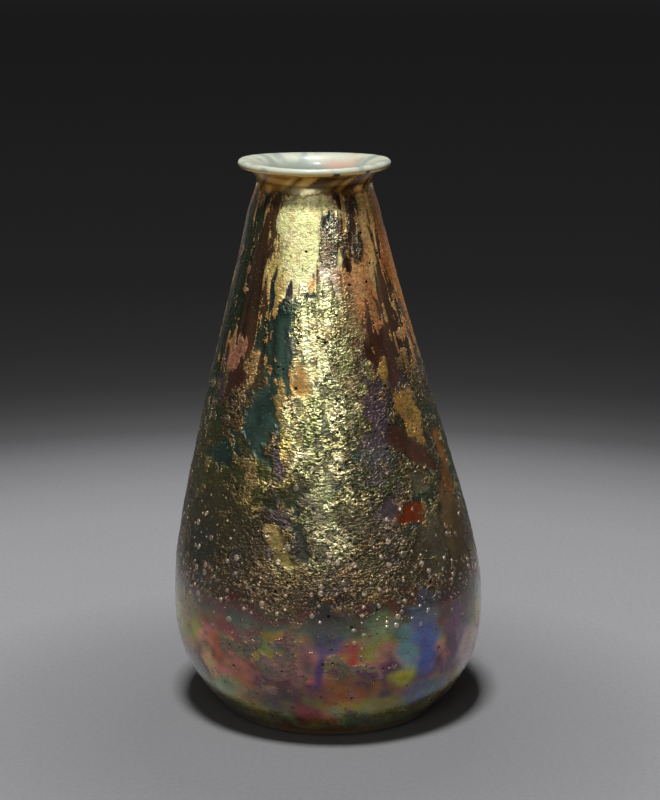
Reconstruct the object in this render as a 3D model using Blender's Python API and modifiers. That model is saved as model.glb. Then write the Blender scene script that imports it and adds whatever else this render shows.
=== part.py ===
"""A blown glass vase: a slender pear-shaped body on a small flat foot, with a short
neck and a thin turned-out lip.

Units are metres, +Z is up, and the origin is on the resting plane, under the middle of
the foot. The body is one hollow solid. Its section is drawn once in the X-Z plane and
turned round Z, then the turned wall is bent a little, the way the hot glass settled.
"""
import math

import bmesh
import bpy

# Heights above the resting plane
VASE_HEIGHT = 0.1645
BELLY_HEIGHT = 0.0354
NECK_BASE_HEIGHT = 0.1493
NECK_HEIGHT = 0.1586

# Outer radii
FOOT_RADIUS = 0.031
BELLY_RADIUS = 0.0465
NECK_BASE_RADIUS = 0.0197
NECK_RADIUS = 0.0168
LIP_RADIUS = 0.0221

# Thickness of the glass
WALL = 0.0026
FLOOR = 0.005
LIP_THICKNESS = 0.0022

# Foot: a rounded outer corner, and a shallow ground hollow under the middle
FOOT_CORNER = 0.0016
HOLLOW_RADIUS = 0.0125
HOLLOW_DEPTH = 0.0011

# How the outline curves: the power of the swell from foot to belly, the length of the
# upright run above the belly, and the taper of the body where it meets the neck
SWELL_POWER = 2.7
BELLY_RUN = 0.0216
TAPER_RUN = 0.0318
TAPER_SLOPE = 0.21
NECK_START_RUN = 0.0036
NECK_END_RUN = 0.0018

# How the hot glass settled: the upper body stands off to -X, and the lip waves
LEAN = 0.0045
LEAN_START_HEIGHT = 0.002
LEAN_END_HEIGHT = 0.150
RIM_WAVE = 0.0003

# Fineness of the faceted surface
TURN_STEPS = 56
SWELL_STEPS = 9
BODY_STEPS = 12
NECK_STEPS = 4
FLARE_STEPS = 5
LIP_STEPS = 6
CORNER_STEPS = 3
HOLLOW_STEPS = 3

# Points of the swell stand closer together near the foot by this power
SWELL_SPACING = 1.4
MERGE_DISTANCE = 0.00002

GLASS_COLOUR = (0.26, 0.19, 0.09, 1.0)
GLASS_ROUGHNESS = 0.28
GLASS_METALLIC = 0.75


def clear_scene():
    """Removes whatever the opened file holds."""
    for item in list(bpy.data.objects):
        bpy.data.objects.remove(item, do_unlink=True)


def ease(value, start, end):
    """Rises smoothly from 0 at start to 1 at end."""
    share = min(max((value - start) / (end - start), 0.0), 1.0)
    return share * share * (3.0 - 2.0 * share)


def cubic(start, start_handle, end_handle, end, steps):
    """Points of a cubic curve in the section plane, without its first point."""
    points = []
    for step in range(1, steps + 1):
        t = step / steps
        s = 1.0 - t
        points.append(tuple(
            s ** 3 * a + 3.0 * s * s * t * b + 3.0 * s * t * t * c + t ** 3 * d
            for a, b, c, d in zip(start, start_handle, end_handle, end)
        ))
    return points


def arc(centre, radii, start_deg, end_deg, steps):
    """Points of an elliptical arc in the section plane, both ends included."""
    points = []
    for step in range(steps + 1):
        angle = math.radians(start_deg + (end_deg - start_deg) * step / steps)
        points.append((
            centre[0] + radii[0] * math.cos(angle),
            centre[1] + radii[1] * math.sin(angle),
        ))
    return points


def swell_radius(height, bottom, inset):
    """Radius between foot and belly of the surface that lies inset inside the glass."""
    share = (height - bottom) / (BELLY_HEIGHT - bottom)
    grown = 1.0 - (1.0 - share) ** SWELL_POWER
    return FOOT_RADIUS - inset + (BELLY_RADIUS - FOOT_RADIUS) * grown


def side_line(bottom, first_height, inset):
    """The side from first_height up to the neck, as it is inset inside the glass."""
    points = []
    for step in range(SWELL_STEPS + 1):
        share = (step / SWELL_STEPS) ** SWELL_SPACING
        height = first_height + (BELLY_HEIGHT - first_height) * share
        points.append((swell_radius(height, bottom, inset), height))
    belly = (BELLY_RADIUS - inset, BELLY_HEIGHT)
    neck_base = (NECK_BASE_RADIUS - inset, NECK_BASE_HEIGHT)
    neck = (NECK_RADIUS - inset, NECK_HEIGHT)
    points += cubic(
        belly,
        (belly[0], belly[1] + BELLY_RUN),
        (neck_base[0] + TAPER_SLOPE * TAPER_RUN, neck_base[1] - TAPER_RUN),
        neck_base,
        BODY_STEPS,
    )
    points += cubic(
        neck_base,
        (neck_base[0] - TAPER_SLOPE * NECK_START_RUN, neck_base[1] + NECK_START_RUN),
        (neck[0], neck[1] - NECK_END_RUN),
        neck,
        NECK_STEPS,
    )
    return points


def mouth_line():
    """From the throat over the lip to the outside of the neck."""
    half = LIP_THICKNESS / 2.0
    lip_centre = (LIP_RADIUS - half, VASE_HEIGHT - half)
    flare_centre = (lip_centre[0], NECK_HEIGHT)
    inner_radii = (lip_centre[0] - (NECK_RADIUS - WALL), VASE_HEIGHT - NECK_HEIGHT)
    outer_radii = (lip_centre[0] - NECK_RADIUS, VASE_HEIGHT - LIP_THICKNESS - NECK_HEIGHT)
    inner_flare = arc(flare_centre, inner_radii, 180.0, 90.0, FLARE_STEPS)
    edge = arc(lip_centre, (half, half), 90.0, -90.0, LIP_STEPS)
    outer_flare = arc(flare_centre, outer_radii, 90.0, 180.0, FLARE_STEPS)
    return inner_flare[1:-1] + edge + outer_flare[1:-1]


def foot_line(side_start):
    """From the outside's lowest point round the corner and under the foot to the axis."""
    flat_edge = (FOOT_RADIUS - FOOT_CORNER, 0.0)
    corner = (FOOT_RADIUS, 0.0)
    points = cubic(side_start, corner, corner, flat_edge, CORNER_STEPS)
    for step in range(HOLLOW_STEPS):
        share = 1.0 - step / HOLLOW_STEPS
        points.append((HOLLOW_RADIUS * share, HOLLOW_DEPTH * (1.0 - share * share)))
    points.append((0.0, HOLLOW_DEPTH))
    return points


def section():
    """The closed section: up the inside, over the lip, down the outside, to the axis."""
    inside = side_line(FLOOR, FLOOR, WALL)
    outside = side_line(0.0, FOOT_CORNER, 0.0)
    outside.reverse()
    return [(0.0, FLOOR)] + inside + mouth_line() + outside + foot_line(outside[-1])


def turned(name, outline, collection):
    """An object with the outline as its mesh, turned round Z by a Screw modifier."""
    mesh = bpy.data.meshes.new(name)
    wire = bmesh.new()
    corners = [wire.verts.new((radius, 0.0, height)) for radius, height in outline]
    for first, second in zip(corners, corners[1:]):
        wire.edges.new((first, second))
    wire.to_mesh(mesh)
    wire.free()
    item = bpy.data.objects.new(name, mesh)
    collection.objects.link(item)
    screw = item.modifiers.new("turn", "SCREW")
    screw.axis = "Z"
    screw.steps = TURN_STEPS
    screw.render_steps = TURN_STEPS
    screw.use_merge_vertices = True
    screw.merge_threshold = MERGE_DISTANCE
    screw.use_smooth_shade = True
    return item


def apply_modifiers(item):
    """Replaces the object's mesh by what its modifiers make of it."""
    bpy.context.view_layer.update()
    evaluated = item.evaluated_get(bpy.context.evaluated_depsgraph_get())
    mesh = bpy.data.meshes.new_from_object(evaluated)
    raw = item.data
    item.modifiers.clear()
    item.data = mesh
    bpy.data.meshes.remove(raw)
    mesh.name = item.name


def settle(item):
    """Leans the upper body to -X and waves the lip, as the hot glass did."""
    for vertex in item.data.vertices:
        place = vertex.co
        around = math.atan2(place.y, place.x)
        rim_share = ease(place.z, NECK_HEIGHT, VASE_HEIGHT)
        lean_share = ease(place.z, LEAN_START_HEIGHT, LEAN_END_HEIGHT)
        place.z += RIM_WAVE * rim_share * math.cos(2.0 * around)
        place.x -= LEAN * lean_share


def glass():
    """Amber glass under a metallic lustre."""
    material = bpy.data.materials.new("lustred_glass")
    material.use_nodes = True
    shader = material.node_tree.nodes["Principled BSDF"]
    shader.inputs["Base Color"].default_value = GLASS_COLOUR
    shader.inputs["Roughness"].default_value = GLASS_ROUGHNESS
    shader.inputs["Metallic"].default_value = GLASS_METALLIC
    return material


def vase(collection):
    """The hollow vase, in one solid."""
    item = turned("vase", section(), collection)
    apply_modifiers(item)
    settle(item)
    item.data.shade_smooth()
    item.data.materials.append(glass())
    return item


def main():
    clear_scene()
    parts = bpy.data.collections.new("lustred_glass_vase")
    bpy.context.scene.collection.children.link(parts)
    vase(parts)


main()
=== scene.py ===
"""Dresses a blown glass vase: lustred outside, amber neck, opal lip and inside.

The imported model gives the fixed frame. The vase is turned again here as a fine mesh of
the same form, its lustre is laid on in named patches, and the skin is sunk and raised by
fractions of a millimetre where the lustre tore, blistered and pitted.
"""
import logging
import math
from collections.abc import Callable
from dataclasses import dataclass, field
from enum import Enum
from functools import partial

import bmesh
import bpy
import numpy as np
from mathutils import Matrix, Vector


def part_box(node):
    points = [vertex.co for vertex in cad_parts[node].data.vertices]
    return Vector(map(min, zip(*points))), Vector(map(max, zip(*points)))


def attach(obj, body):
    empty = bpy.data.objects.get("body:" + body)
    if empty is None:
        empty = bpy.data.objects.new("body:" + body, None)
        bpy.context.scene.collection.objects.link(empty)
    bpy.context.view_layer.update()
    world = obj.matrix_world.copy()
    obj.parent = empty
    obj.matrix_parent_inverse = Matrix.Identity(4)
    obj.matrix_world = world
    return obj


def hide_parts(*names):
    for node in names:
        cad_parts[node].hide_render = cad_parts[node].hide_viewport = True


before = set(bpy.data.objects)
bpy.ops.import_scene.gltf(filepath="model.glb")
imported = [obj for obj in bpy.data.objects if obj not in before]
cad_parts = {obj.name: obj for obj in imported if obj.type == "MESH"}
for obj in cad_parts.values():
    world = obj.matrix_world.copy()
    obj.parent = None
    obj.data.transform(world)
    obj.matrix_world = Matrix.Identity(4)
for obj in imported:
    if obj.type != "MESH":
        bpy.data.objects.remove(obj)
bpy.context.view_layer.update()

LOG = logging.getLogger("glass_vase")
MM = 0.001
MERGE_DISTANCE = 0.000001
NODE = "vase"
PICTURE_WIDTH = 660
PICTURE_HEIGHT = 800

Colour = tuple[float, float, float]
Point = tuple[float, float]


def linear(shown: tuple[int, int, int]) -> Colour:
    """Turns a colour as shown on a screen into the light it reflects.

    Args:
        shown: Red, green and blue from 0 to 255.

    Returns:
        Red, green and blue from 0 to 1, in linear light.
    """
    parts = np.array(shown, dtype=float) / 255.0
    light = np.where(parts <= 0.04045, parts / 12.92, ((parts + 0.055) / 1.055) ** 2.4)
    return tuple(float(part) for part in light)


def ease(value: np.ndarray, start: float, end: float) -> np.ndarray:
    """Rises smoothly from 0 at start to 1 at end, or falls if end is under start.

    Args:
        value: Numbers to weigh.
        start: Where the share is 0.
        end: Where the share is 1.

    Returns:
        The share, from 0 to 1, of each value.
    """
    share = np.clip((value - start) / (end - start), 0.0, 1.0)
    return share * share * (3.0 - 2.0 * share)


class Film(Enum):
    """The colours that the lustre takes, as they look under full light."""

    PALE_GOLD = (255, 246, 190)
    GOLD = (214, 190, 130)
    WHITE_GOLD = (238, 228, 176)
    OLIVE_GOLD = (158, 140, 94)
    TAN = (196, 162, 118)
    OCHRE = (180, 146, 94)
    STRAW = (216, 182, 130)
    COPPER = (206, 150, 110)
    ROSE_COPPER = (220, 166, 126)
    ROSE_GOLD = (254, 230, 202)
    COPPER_PINK = (188, 138, 112)
    FROTH = (150, 122, 92)
    ORANGE = (178, 122, 76)
    BRONZE = (116, 96, 68)
    GUNMETAL = (112, 100, 86)
    RED_BROWN = (80, 58, 43)
    DARK_RED = (80, 52, 40)
    DARK_OLIVE = (74, 72, 42)
    DARK_GREEN = (52, 58, 38)
    TEAL = (68, 86, 76)
    DARK_TEAL = (46, 62, 56)
    GREEN_TEAL = (66, 108, 90)
    PALE_TEAL = (120, 166, 168)
    VIOLET = (84, 68, 76)
    SLATE = (92, 84, 84)
    GREY_GREEN = (104, 96, 76)
    GREY_GOLD = (154, 144, 108)
    GREEN_GOLD = (146, 148, 100)
    GREY_PINK = (160, 136, 120)
    RED_ORANGE = (142, 62, 28)
    RED = (184, 76, 60)
    MAGENTA = (146, 54, 64)
    PINK = (222, 142, 130)
    SALMON = (214, 120, 84)
    PEACH = (254, 214, 158)
    PALE_PINK = (218, 186, 184)
    YELLOW = (222, 198, 96)
    YELLOW_OLIVE = (174, 160, 76)
    YELLOW_GREEN = (198, 206, 74)
    PALE_GREEN = (166, 180, 132)
    BLUE = (84, 106, 172)
    PALE_BLUE = (132, 146, 166)
    SLATE_BLUE = (102, 118, 146)
    INDIGO = (92, 66, 120)
    VIOLET_PINK = (94, 56, 86)
    ORANGE_BROWN = (154, 110, 68)
    HOT_ORANGE = (184, 104, 60)
    SILVER = (206, 200, 176)
    LIP_HONEY = (244, 200, 118)
    HONEY = (228, 184, 96)
    AMBER = (196, 142, 54)
    DARK_AMBER = (96, 62, 24)
    PEARL = (144, 151, 140)
    CREAM = (166, 169, 150)
    SHELL_PINK = (178, 144, 126)
    SHADE_PEARL = (132, 139, 130)


class Layer(Enum):
    """What a patch changes: the smooth film on the glass, or the torn crust over it."""

    FILM = "film"
    CRUST = "crust"


@dataclass(frozen=True)
class Patch:
    """One area of the lustre, placed on the outside by bearing and height.

    Bearings are in degrees from the front, positive towards +X. Other sizes are in
    millimetres. tilt turns the top of the patch towards +X, in degrees. grain says how
    rough its surface is, soft how soft its edge, and rag how torn, from 0 to about 1.
    """

    name: str
    film: Film
    bearing: float
    height: float
    half_width: float
    half_height: float
    tilt: float = 0.0
    grain: float = 0.25
    strength: float = 1.0
    soft: float = 0.35
    rag: float = 1.0
    layer: Layer = Layer.FILM


@dataclass(frozen=True)
class VaseSizes:
    """Sizes of the vase in metres, as the frame has them."""

    height: float
    belly_radius: float
    belly_height: float = 0.0354
    neck_base_height: float = 0.1493
    neck_height: float = 0.1586
    foot_radius: float = 0.031
    neck_base_radius: float = 0.0197
    neck_radius: float = 0.0168
    lip_radius: float = 0.0221
    wall: float = 0.0026
    floor: float = 0.005
    lip_thickness: float = 0.0022
    foot_corner: float = 0.0016
    hollow_radius: float = 0.0125
    hollow_depth: float = 0.0011
    swell_power: float = 2.7
    belly_run: float = 0.0216
    taper_run: float = 0.0318
    taper_slope: float = 0.21
    neck_start_run: float = 0.0036
    neck_end_run: float = 0.0018
    lean: float = 0.0045
    lean_start_height: float = 0.002
    lean_end_height: float = 0.150
    rim_wave: float = 0.0003

    @classmethod
    def from_frame(cls) -> "VaseSizes":
        """Reads the height and the belly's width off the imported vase.

        Returns:
            The sizes.
        """
        low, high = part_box(NODE)
        return cls(
            height=high[2] - low[2] - cls.rim_wave,
            belly_radius=(high[1] - low[1]) / 2.0,
        )

    def lean_at(self, height: np.ndarray) -> np.ndarray:
        """How far the vase's middle stands off to -X at each height, in metres."""
        return self.lean * ease(height, self.lean_start_height, self.lean_end_height)


class Clouds:
    """Smooth seeded noise in space, the same on every run."""

    TABLE = 4096
    PRIMES = (73856093, 19349663, 83492791)
    # How far along the noise each finer octave is read
    OCTAVE_SHIFT = 17.3

    def __init__(self, seed: int) -> None:
        """Draws the table of random heights.

        Args:
            seed: Start of the random draws.
        """
        self.heights = np.random.default_rng(seed).uniform(-1.0, 1.0, self.TABLE)

    def single(self, places: np.ndarray) -> np.ndarray:
        """One octave of noise.

        Args:
            places: Points, one a row, in units of the noise's own size.

        Returns:
            A number from -1 to 1 for each point.
        """
        base = np.floor(places).astype(np.int64)
        part = places - base
        part = part ** 3 * (part * (part * 6.0 - 15.0) + 10.0)
        total = np.zeros(len(places))
        for corner in range(8):
            step = np.array([corner & 1, corner >> 1 & 1, corner >> 2 & 1])
            cell = base + step
            key = np.bitwise_xor.reduce(cell * np.array(self.PRIMES), axis=1)
            share = np.prod(np.where(step == 1, part, 1.0 - part), axis=1)
            total += share * self.heights[key % self.TABLE]
        return total

    def layered(self, places: np.ndarray, size: float, octaves: int = 3) -> np.ndarray:
        """Several octaves of noise, each half the size and half the height of the last.

        Args:
            places: Points in millimetres.
            size: Size of the largest forms, in millimetres.
            octaves: Number of octaves.

        Returns:
            A number of about -1 to 1 for each point.
        """
        total = np.zeros(len(places))
        for octave in range(octaves):
            finer = 2.0 ** octave
            total += self.single(places / size * finer + self.OCTAVE_SHIFT * octave) / finer
        return total


class Section:
    """The closed half section of the vase, as a fine line of radius and height."""

    # Steps of the side: up to the belly, from there to the neck's base, and up the neck
    INSIDE_STEPS = (7, 14, 4)
    OUTSIDE_STEPS = (50, 118, 12)
    FLARE_STEPS = 8
    EDGE_STEPS = 8
    CORNER_STEPS = 5
    HOLLOW_STEPS = 6
    FLOOR_RADII = (0.0, 0.008, 0.018)
    # Points of the swell stand closer together near the foot by this power
    SPACING = 1.15

    def __init__(self, sizes: VaseSizes) -> None:
        """Draws the line from the middle of the floor over the lip to the foot's middle.

        Args:
            sizes: Sizes of the vase.
        """
        self.sizes = sizes
        inside = self.side(sizes.floor, sizes.floor, sizes.wall, self.INSIDE_STEPS)
        outside = self.side(0.0, sizes.foot_corner, 0.0, self.OUTSIDE_STEPS)[::-1]
        foot = self.foot(outside[-1])
        floor = [(radius, sizes.floor) for radius in self.FLOOR_RADII]
        self.points = floor + inside + self.mouth() + outside + foot
        # The outside begins one point past the middle of the lip's edge
        to_edge = self.FLARE_STEPS - 1
        self.first_outside = len(floor) + len(inside) + to_edge + self.EDGE_STEPS // 2 + 1
        self.first_under = len(self.points) - len(foot)

    @staticmethod
    def cubic(start: Point, first: Point, second: Point, end: Point, steps: int) -> list[Point]:
        """Points of a cubic curve without its first point.

        Args:
            start: First point.
            first: Handle of the first point.
            second: Handle of the last point.
            end: Last point.
            steps: Number of points.

        Returns:
            The points as radius and height.
        """
        points = []
        for step in range(1, steps + 1):
            t = step / steps
            s = 1.0 - t
            points.append(tuple(
                s ** 3 * a + 3.0 * s * s * t * b + 3.0 * s * t * t * c + t ** 3 * d
                for a, b, c, d in zip(start, first, second, end)
            ))
        return points

    @staticmethod
    def arc(centre: Point, radii: Point, start: float, end: float, steps: int) -> list[Point]:
        """Points of an elliptical arc, both ends included.

        Args:
            centre: Middle of the ellipse.
            radii: Its two radii.
            start: First angle, in degrees.
            end: Last angle, in degrees.
            steps: Number of steps.

        Returns:
            The points as radius and height.
        """
        angles = np.radians(np.linspace(start, end, steps + 1))
        return [
            (centre[0] + radii[0] * math.cos(angle), centre[1] + radii[1] * math.sin(angle))
            for angle in angles
        ]

    def side(self, bottom: float, first: float, inset: float, steps: tuple[int, int, int]) -> list[Point]:
        """The side from the foot up to the neck, inset inside the glass.

        Args:
            bottom: Height where the swell begins.
            first: Height of the first point.
            inset: Distance inside the outer surface.
            steps: Steps up to the belly, from there to the neck's base, and up the neck.

        Returns:
            The points as radius and height.
        """
        s = self.sizes
        swell, body, neck = steps
        points = []
        for step in range(swell + 1):
            height = first + (s.belly_height - first) * (step / swell) ** self.SPACING
            share = (height - bottom) / (s.belly_height - bottom)
            grown = 1.0 - (1.0 - share) ** s.swell_power
            points.append((s.foot_radius - inset + (s.belly_radius - s.foot_radius) * grown, height))
        belly = (s.belly_radius - inset, s.belly_height)
        base = (s.neck_base_radius - inset, s.neck_base_height)
        top = (s.neck_radius - inset, s.neck_height)
        points += self.cubic(
            belly,
            (belly[0], belly[1] + s.belly_run),
            (base[0] + s.taper_slope * s.taper_run, base[1] - s.taper_run),
            base,
            body,
        )
        points += self.cubic(
            base,
            (base[0] - s.taper_slope * s.neck_start_run, base[1] + s.neck_start_run),
            (top[0], top[1] - s.neck_end_run),
            top,
            neck,
        )
        return points

    def mouth(self) -> list[Point]:
        """From the throat over the lip to the outside of the neck.

        Returns:
            The points as radius and height.
        """
        s = self.sizes
        half = s.lip_thickness / 2.0
        lip = (s.lip_radius - half, s.height - half)
        flare = (lip[0], s.neck_height)
        inner_radii = (lip[0] - (s.neck_radius - s.wall), s.height - s.neck_height)
        outer_radii = (lip[0] - s.neck_radius, s.height - s.lip_thickness - s.neck_height)
        inner_flare = self.arc(flare, inner_radii, 180.0, 90.0, self.FLARE_STEPS)
        edge = self.arc(lip, (half, half), 90.0, -90.0, self.EDGE_STEPS)
        outer_flare = self.arc(flare, outer_radii, 90.0, 180.0, self.FLARE_STEPS)
        return inner_flare[1:-1] + edge + outer_flare[1:-1]

    def foot(self, start: Point) -> list[Point]:
        """From the outside's lowest point under the foot to its middle.

        Args:
            start: Last point of the outside.

        Returns:
            The points as radius and height.
        """
        s = self.sizes
        corner = (s.foot_radius, 0.0)
        flat_edge = (s.foot_radius - s.foot_corner, 0.0)
        points = self.cubic(start, corner, corner, flat_edge, self.CORNER_STEPS)
        points.append(((s.foot_radius + s.hollow_radius) / 2.0, 0.0))
        for step in range(self.HOLLOW_STEPS):
            share = 1.0 - step / self.HOLLOW_STEPS
            points.append((s.hollow_radius * share, s.hollow_depth * (1.0 - share * share)))
        points.append((0.0, s.hollow_depth))
        return points


def face_out(mesh: bpy.types.Mesh) -> None:
    """Turns the faces of a closed mesh outwards where they look in.

    Args:
        mesh: A closed mesh whose faces all look the same way.
    """
    shape = bmesh.new()
    shape.from_mesh(mesh)
    if shape.calc_volume(signed=True) < 0.0:
        bmesh.ops.reverse_faces(shape, faces=shape.faces[:])
        shape.to_mesh(mesh)
    shape.free()


def placed(name: str, data: bpy.types.ID) -> bpy.types.Object:
    """Puts a mesh, light or camera into the scene.

    Args:
        name: Name of the new object.
        data: What the object holds.

    Returns:
        The object, at the origin.
    """
    item = bpy.data.objects.new(name, data)
    bpy.context.scene.collection.objects.link(item)
    return item


class Nodes:
    """A node tree that is built by short calls."""

    def __init__(self, tree: bpy.types.NodeTree) -> None:
        """Keeps the tree that the calls build."""
        self.tree = tree

    def join(self, value: object, socket: bpy.types.NodeSocket) -> None:
        """Links an input to another node's socket, or sets it to a value.

        Args:
            value: The other node's socket, or the value.
            socket: The input.
        """
        if isinstance(value, bpy.types.NodeSocket):
            self.tree.links.new(value, socket)
        else:
            socket.default_value = value

    def add(self, kind: str, settings: dict | None = None, **sockets: object) -> bpy.types.Node:
        """Adds a node and joins or fills its inputs.

        Args:
            kind: Type of the node.
            settings: The node's own settings.
            **sockets: Input by name, with underscores for spaces, or by place as s0, s1.

        Returns:
            The new node.
        """
        node = self.tree.nodes.new(kind)
        for name, value in (settings or {}).items():
            setattr(node, name, value)
        for name, value in sockets.items():
            by_place = name[0] == "s" and name[1:].isdigit()
            self.join(value, node.inputs[int(name[1:]) if by_place else name.replace("_", " ")])
        return node

    def math(self, action: str, first: object, second: object = 0.0) -> bpy.types.NodeSocket:
        """The result of a Math node on two numbers or sockets."""
        return self.add("ShaderNodeMath", {"operation": action}, s0=first, s1=second).outputs[0]

    def plus(self, first: object, second: object) -> bpy.types.NodeSocket:
        """The sum of two numbers or sockets."""
        return self.math("ADD", first, second)

    def less(self, first: object, second: object) -> bpy.types.NodeSocket:
        """The first number or socket less the second."""
        return self.math("SUBTRACT", first, second)

    def times(self, first: object, second: object) -> bpy.types.NodeSocket:
        """The product of two numbers or sockets."""
        return self.math("MULTIPLY", first, second)

    def span(self, value: object, low: object, high: object, start: object = 0.0,
             end: object = 1.0) -> bpy.types.NodeSocket:
        """Maps low..high smoothly to start..end.

        Args:
            value: The number that is mapped.
            low: Value that gives start.
            high: Value that gives end.
            start: Result at low.
            end: Result at high.

        Returns:
            The mapped number.
        """
        return self.add("ShaderNodeMapRange", {"interpolation_type": "SMOOTHSTEP"}, Value=value,
                        From_Min=low, From_Max=high, To_Min=start, To_Max=end).outputs[0]


class Tree(Nodes):
    """A geometry node tree with named inputs."""

    def __init__(self, name: str, inputs: dict[str, str]) -> None:
        """Makes the tree with a geometry input, the named inputs and a geometry output.

        Args:
            name: Name of the tree.
            inputs: Socket type of each named input.
        """
        super().__init__(bpy.data.node_groups.new(name, "GeometryNodeTree"))
        self.tree.is_modifier = True
        face = self.tree.interface
        face.new_socket("Geometry", in_out="INPUT", socket_type="NodeSocketGeometry")
        self.keys = {
            label: face.new_socket(label, in_out="INPUT", socket_type=kind).identifier
            for label, kind in inputs.items()
        }
        face.new_socket("Geometry", in_out="OUTPUT", socket_type="NodeSocketGeometry")
        self.given = self.tree.nodes.new("NodeGroupInput").outputs
        self.result = self.tree.nodes.new("NodeGroupOutput")

    def attribute(self, name: str, kind: str = "FLOAT") -> bpy.types.NodeSocket:
        """An attribute that the points carry."""
        return self.add("GeometryNodeInputNamedAttribute", {"data_type": kind}, Name=name).outputs[0]

    def end(self, shape: bpy.types.NodeSocket) -> "Tree":
        """Makes the instances real, gives them the material and ends the tree.

        Args:
            shape: The geometry that the tree has made.

        Returns:
            The finished tree.
        """
        whole = self.add("GeometryNodeRealizeInstances", Geometry=shape)
        dressed = self.add("GeometryNodeSetMaterial", Geometry=whole.outputs[0],
                           Material=self.given["Material"])
        self.join(dressed.outputs[0], self.result.inputs[0])
        return self

    def grow(self, name: str, points: bpy.types.Mesh, values: dict[str, object]) -> bpy.types.Object:
        """Runs the tree on a mesh of points and gives the result as an object of plain mesh.

        Args:
            name: Name of the object and its mesh.
            points: Points that the tree starts from.
            values: Value of each named input.

        Returns:
            The object, with its faces outwards.
        """
        guide = placed(points.name, points)
        modifier = guide.modifiers.new("shape", "NODES")
        modifier.node_group = self.tree
        for label, value in values.items():
            modifier[self.keys[label]] = value
        bpy.context.view_layer.update()
        evaluated = guide.evaluated_get(bpy.context.evaluated_depsgraph_get())
        mesh = bpy.data.meshes.new_from_object(evaluated)
        guide.modifiers.remove(modifier)
        bpy.data.objects.remove(guide, do_unlink=True)
        mesh.name = name
        face_out(mesh)
        return placed(name, mesh)


def turned_tree() -> Tree:
    """Builds the tree that turns a section and settles it as the hot glass did.

    Returns:
        The tree, whose geometry input holds the section as points in order.
    """
    tree = Tree("turned_and_settled", {
        "Columns": "NodeSocketInt",
        "Rows": "NodeSocketInt",
        "Lean": "NodeSocketFloat",
        "Lean Start": "NodeSocketFloat",
        "Lean End": "NodeSocketFloat",
        "Rim Wave": "NodeSocketFloat",
        "Neck Height": "NodeSocketFloat",
        "Vase Height": "NodeSocketFloat",
        "Material": "NodeSocketMaterial",
    })
    given = tree.given
    across = tree.plus(given["Columns"], 1.0)
    grid = tree.add("GeometryNodeMeshGrid", Size_X=1.0, Size_Y=1.0, Vertices_X=across,
                    Vertices_Y=given["Rows"])
    place = tree.add("GeometryNodeInputPosition").outputs[0]
    spread = tree.add("ShaderNodeSeparateXYZ", s0=place)
    bearing = tree.times(spread.outputs[0], 2.0 * math.pi)
    share = tree.plus(spread.outputs[1], 0.5)
    last = tree.less(given["Rows"], 1.0)
    row = tree.math("ROUND", tree.times(share, last))
    stored = tree.add("GeometryNodeStoreNamedAttribute", {"data_type": "FLOAT", "domain": "POINT"},
                      Geometry=grid.outputs["Mesh"], Name="row", Value=row)
    taken = tree.add("GeometryNodeSampleIndex", {"data_type": "FLOAT_VECTOR", "domain": "POINT"},
                     Geometry=given["Geometry"], Value=place, Index=row)
    section = tree.add("ShaderNodeSeparateXYZ", s0=taken.outputs[0])
    radius, height = section.outputs[0], section.outputs[2]
    lean = tree.times(given["Lean"], tree.span(height, given["Lean Start"], given["Lean End"]))
    wave = tree.times(given["Rim Wave"], tree.span(height, given["Neck Height"], given["Vase Height"]))
    double = tree.math("COSINE", tree.times(bearing, 2.0))
    east = tree.less(tree.times(radius, tree.math("SINE", bearing)), lean)
    north = tree.times(tree.times(radius, tree.math("COSINE", bearing)), -1.0)
    up = tree.less(height, tree.times(wave, double))
    settled = tree.add("ShaderNodeCombineXYZ", s0=east, s1=north, s2=up)
    moved = tree.add("GeometryNodeSetPosition", Geometry=stored.outputs[0], Position=settled.outputs[0])
    merged = tree.add("GeometryNodeMergeByDistance", Geometry=moved.outputs[0], Distance=MERGE_DISTANCE)
    smooth = tree.add("GeometryNodeSetShadeSmooth", Geometry=merged.outputs[0])
    return tree.end(smooth.outputs[0])


# A patch of the torn crust, and a soft patch, mostly of the rainbow over the lower body, some painted
# reflections and shade
crust: Callable[..., Patch] = partial(Patch, layer=Layer.CRUST)
glow: Callable[..., Patch] = partial(Patch, soft=0.8, rag=0.8)
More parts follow.
